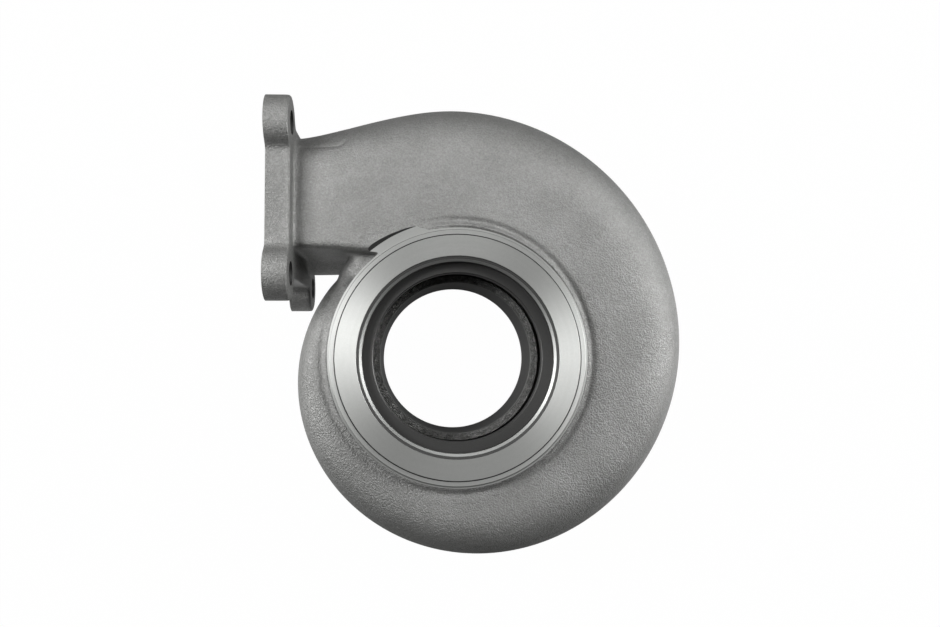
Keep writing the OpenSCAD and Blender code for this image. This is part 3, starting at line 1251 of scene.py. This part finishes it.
@dataclass
class Housing:
    """The whole casting, from raw skin to machined faces."""

    scroll: Scroll = field(default_factory=Scroll)
    bearing: BearingSide = field(default_factory=BearingSide)
    flange: InletFlange = field(default_factory=InletFlange)
    tongue: Tongue = field(default_factory=Tongue)
    pad: Pad = field(default_factory=Pad)
    valley: Valley = field(default_factory=Valley)
    boss: float = 60.2
    boss_ends: Point = (50.0, 102.0)
    pipe: float = 51.0
    pipe_ends: Point = (-4.0, 60.0)
    rim: float = 56.0
    rim_edge: float = 2.6
    rim_slope: float = 2.4
    outlet_cut: Point = (90.0, -8.0)
    voxel: float = 0.62
    draft_voxel: float = 1.0
    soft_passes: int = 24
    fillet_passes: int = 55
    firm_passes: int = 3
    skin_triangles: int = 128000
    flat: float = 0.9995
    crisp: float = 0.3
    sharp: float = 1.1

    def raw(self, sweep: ScrollTree, finishes: Sequence[Material]) -> Object:
        """Raw casting with blended corners.

        Args:
            sweep: the tree that makes the scroll.
            finishes: the materials, in the order of the surfaces.

        Returns:
            The object, before any machining.
        """
        skin, cast = self.scroll.outside(), Surface.CAST
        (low, high), foot = self.pipe_ends, self.rim_edge + self.rim_slope
        pieces = [
            sweep.mesh("scroll", skin, finishes[0]),
            revolve("boss", disc(self.boss, *self.boss_ends, cast)),
            revolve("pipe", [(0.0, low, cast), (self.rim, low, cast), (self.rim, self.rim_edge, cast),
                             (self.pipe, foot, cast), (self.pipe, high, cast), (0.0, high, cast)]),
            self.tongue.mesh(skin),
            self.flange.plate(),
        ]
        obj = joined("turbine_housing_cast", pieces)
        voxel = self.voxel
        modify(obj, "REMESH", mode="VOXEL", voxel_size=voxel * MM)
        LOG.info("fused casting: %d faces", len(obj.data.polygons))
        self.blend_corners(obj)
        self.pad.carve(obj.data)
        self.valley.carve(obj.data)
        modify(obj, "DECIMATE", ratio=min(1.0, self.skin_triangles / max(1, count(obj))))
        obj.data.materials.clear()
        for material in finishes:
            obj.data.materials.append(material)
        paint(obj.data, cast)
        return obj

    def blend_corners(self, obj: Object) -> None:
        """Rounds the corners as sand and wax leave them, less so at the foot of the boss and at the rim.

        Args:
            obj: the fused casting, changed in place.
        """
        states, done = [], 0
        for passes in (self.firm_passes, self.soft_passes, self.fillet_passes):
            modify(obj, "SMOOTH", factor=0.5, iterations=passes - done)
            states.append(points_of(obj.data))
            done = passes
        firm, soft, fillet = states
        x, y, z = firm.T
        radius, turned = np.hypot(x, y), np.degrees(np.arctan2(y, x))
        by_flange = eased((4.5 - np.abs(x + 75.5)) / 2.5) * eased((101.0 - z) / 2.0)
        by_flange = within(by_flange, y, (46.0, 106.0), (3.0, 3.0))
        by_tongue = within(1.0, radius, (62.0, 82.0), (2.0, 3.0)) * eased((z - 66.0) / 5.0)
        by_tongue = within(by_tongue, turned, (116.0, 152.0), (4.0, 4.0))
        for zone in (by_flange, by_tongue):
            soft = soft + (fillet - soft) * zone[:, None]
        by_boss = within(1.0, radius, (58.0, 66.0), (1.0, 4.0)) * eased((z - 80.0) / 4.0)
        by_rim = eased((8.0 - z) / 2.0)
        hold = np.maximum(by_boss * 0.8, by_rim * 0.7)[:, None]
        place_points(obj.data, soft * (1.0 - hold) + firm * hold)

    def machine(self, obj: Object, sweep: ScrollTree) -> None:
        """Cores the passages and machines the faces and bores.

        Args:
            obj: the raw casting, changed in place.
            sweep: the tree that makes the passages.
        """
        for name, sizes in self.scroll.passages().items():
            core = sweep.mesh(name, sizes, obj.data.materials[Surface.CORE.value])
            paint(core, Surface.CORE)
            cut(obj, core)
        radius, low = self.outlet_cut
        outlet = disc(radius, low, 0.0, Surface.MILLED)
        turned = [revolve("bore_tool", self.bearing.inside()), revolve("face_tool", self.bearing.outside())]
        for tool in (*turned, self.flange.mill(), *self.flange.drills(), revolve("outlet_tool", outlet, 48)):
            cut(obj, tool)

    def dress(self, obj: Object) -> None:
        """Smooths the skin and keeps machined planes flat and their edges crisp.

        Args:
            obj: the machined casting.
        """
        mesh, cast = obj.data, Surface.CAST.value
        level = np.abs(column(mesh.polygons, "normal")).max(1) > self.flat
        slots = column(mesh.polygons, "material_index", 1, np.int32)
        mesh.polygons.foreach_set("use_smooth", ~(level & (slots != cast)))
        work = bmesh.new()
        work.from_mesh(mesh)
        for edge in work.edges:
            if len(edge.link_faces) != 2:
                LOG.warning("open edge in %s", obj.name)
                continue
            angle = edge.calc_face_angle(0.0)
            machined = any(face.material_index != cast for face in edge.link_faces)
            edge.smooth = not ((machined and angle > self.crisp) or angle > self.sharp)
        work.to_mesh(mesh)
        work.free()
        mesh.update()


# Studio


@dataclass(frozen=True)
class Lamp:
    """One soft lamp."""

    name: str
    place: tuple[float, float, float]
    size: Point
    watts: float

    AIM: ClassVar[Vector] = Vector((0.0, 0.01, 0.05))

    def build(self) -> None:
        """Hangs the lamp and turns it to the part."""
        data = bpy.data.lights.new(self.name, "AREA")
        data.shape = "RECTANGLE"
        data.size, data.size_y = self.size
        data.energy = self.watts
        obj = linked(self.name, data)
        obj.location = self.place
        obj.rotation_euler = (self.AIM - obj.location).to_track_quat("-Z", "Y").to_euler()


@dataclass
class Studio:
    """Pale floor, soft lamps and the camera at the photograph's angle, in metres."""

    camera_at: tuple[float, float, float] = (-0.016203, -0.002646, 0.523384)
    lens: float = 35.291
    sensor: float = 36.0
    turn: tuple[tuple[float, float, float], ...] = ((0.9987, 0.0, -0.05094), (-0.00273, 0.99856, -0.0535),
                                                    (0.05086, 0.05357, 0.99727))
    lamps: tuple[Lamp, ...] = (
        Lamp("left_box", (-0.87, 0.27, 0.95), (0.5, 0.8), 16.5),
        Lamp("right_box", (1.05, 0.22, 0.58), (0.5, 0.8), 13.5),
        Lamp("top_box", (0.05, 0.80, 0.95), (0.8, 0.8), 5.0),
        Lamp("left_strip", (-0.95, -0.05, 0.09), (0.14, 0.9), 4.0),
        Lamp("right_strip", (0.95, 0.05, 0.09), (0.14, 0.9), 3.5),
    )
    air: float = 0.29
    air_overhead: float = 0.74
    air_beside: float = 2.2
    air_below: float = 0.05
    floor_reach: float = 6.0
    floor_height: float = -0.0004
    paper: float = 0.14
    paper_white: float = 1.02
    paper_seen: float = 0.97
    paper_mirrored: float = 0.04

    def floor(self) -> None:
        """White floor that keeps the object's shadow and looks white to camera and reflections."""
        mesh = bpy.data.meshes.new("studio_floor")
        r, low = self.floor_reach, self.floor_height
        mesh.from_pydata([(-r, -r, low), (r, -r, low), (r, r, low), (-r, r, low)], [], [(0, 1, 2, 3)])
        obj = linked("studio_floor", mesh)
        material = bpy.data.materials.new("floor_paper")
        material.use_nodes = True
        sh = Shader(material.node_tree)
        path = sh.rules("ShaderNodeLightPath")
        seen = path["Is Camera Ray"].math("MAXIMUM", path["Is Transmission Ray"])
        paper = sh.node("ShaderNodeBsdfDiffuse", {"Color": (self.paper, self.paper, self.paper, 1.0)})
        white = sh.node("ShaderNodeEmission", {"Color": (1.0, 1.0, 1.0, 1.0), "Strength": self.paper_white})
        x, y, _ = sh.parts(sh.node("ShaderNodeNewGeometry").outputs["Position"])
        beside = sh.ramp(x.math("ABSOLUTE") - y.math("ABSOLUTE"), -0.05, 0.15, self.paper_mirrored, 1.0)
        amount = (seen * self.paper_seen).math("MAXIMUM", path["Is Glossy Ray"] * beside)
        mixed = sh.node("ShaderNodeMixShader", {"0": amount, "1": paper.outputs[0], "2": white.outputs[0]})
        sh.finish("ShaderNodeOutputMaterial", mixed)
        mesh.materials.append(material)

    def world(self) -> None:
        """Dim neutral air that the camera sees as white."""
        world = bpy.data.worlds.new("studio_air")
        bpy.context.scene.world = world
        world.use_nodes = True
        sh = Shader(world.node_tree)
        x, y, _ = sh.parts(sh.node("ShaderNodeTexCoord").outputs["Generated"])
        sides = x.math("ABSOLUTE").math("POWER", 3.0).math("MULTIPLY_ADD", self.air_beside, self.air_overhead)
        below = sh.ramp(y * -1.0, 0.02, 0.60, 1.0, self.air_below)
        air = {"Color": (1.0, 1.0, 0.99, 1.0), "Strength": sides * below * self.air}
        dim = sh.node("ShaderNodeBackground", air)
        white = sh.node("ShaderNodeBackground", {"Color": (1.0, 1.0, 1.0, 1.0), "Strength": 1.0})
        seen = sh.rules("ShaderNodeLightPath")["Is Camera Ray"]
        mixed = sh.node("ShaderNodeMixShader", {"0": seen, "1": dim.outputs[0], "2": white.outputs[0]})
        sh.finish("ShaderNodeOutputWorld", mixed)

    def camera(self) -> None:
        """Camera where the photograph was taken from."""
        data = bpy.data.cameras.new("photo_camera")
        data.lens = self.lens
        data.sensor_width = self.sensor
        data.clip_start = 0.01
        obj = linked("photo_camera", data)
        obj.matrix_world = Matrix.Translation(self.camera_at) @ Matrix(self.turn).to_4x4()
        bpy.context.scene.camera = obj

    def build(self) -> None:
        """Builds the floor, the lamps, the world and the camera."""
        bpy.context.scene.view_settings.view_transform = "Standard"
        self.floor()
        for lamp in self.lamps:
            lamp.build()
        self.world()
        self.camera()


def main() -> None:
    """Loads the frame, builds the housing and the studio, and reports each piece."""
    logging.basicConfig(level=logging.INFO, format="%(name)s: %(message)s")
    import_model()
    housing = Housing()
    effects = Effects()
    finishes = [finish.material(effects) for finish in FINISHES]
    sweep = ScrollTree(housing.scroll.outside())
    obj = housing.raw(sweep, finishes)
    housing.machine(obj, sweep)
    housing.dress(obj)
    LOG.info("%s: %d triangles", obj.name, count(obj))
    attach(obj, "root")
    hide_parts("turbine_housing")
    Studio().build()


if __name__ == "__main__":
    main()
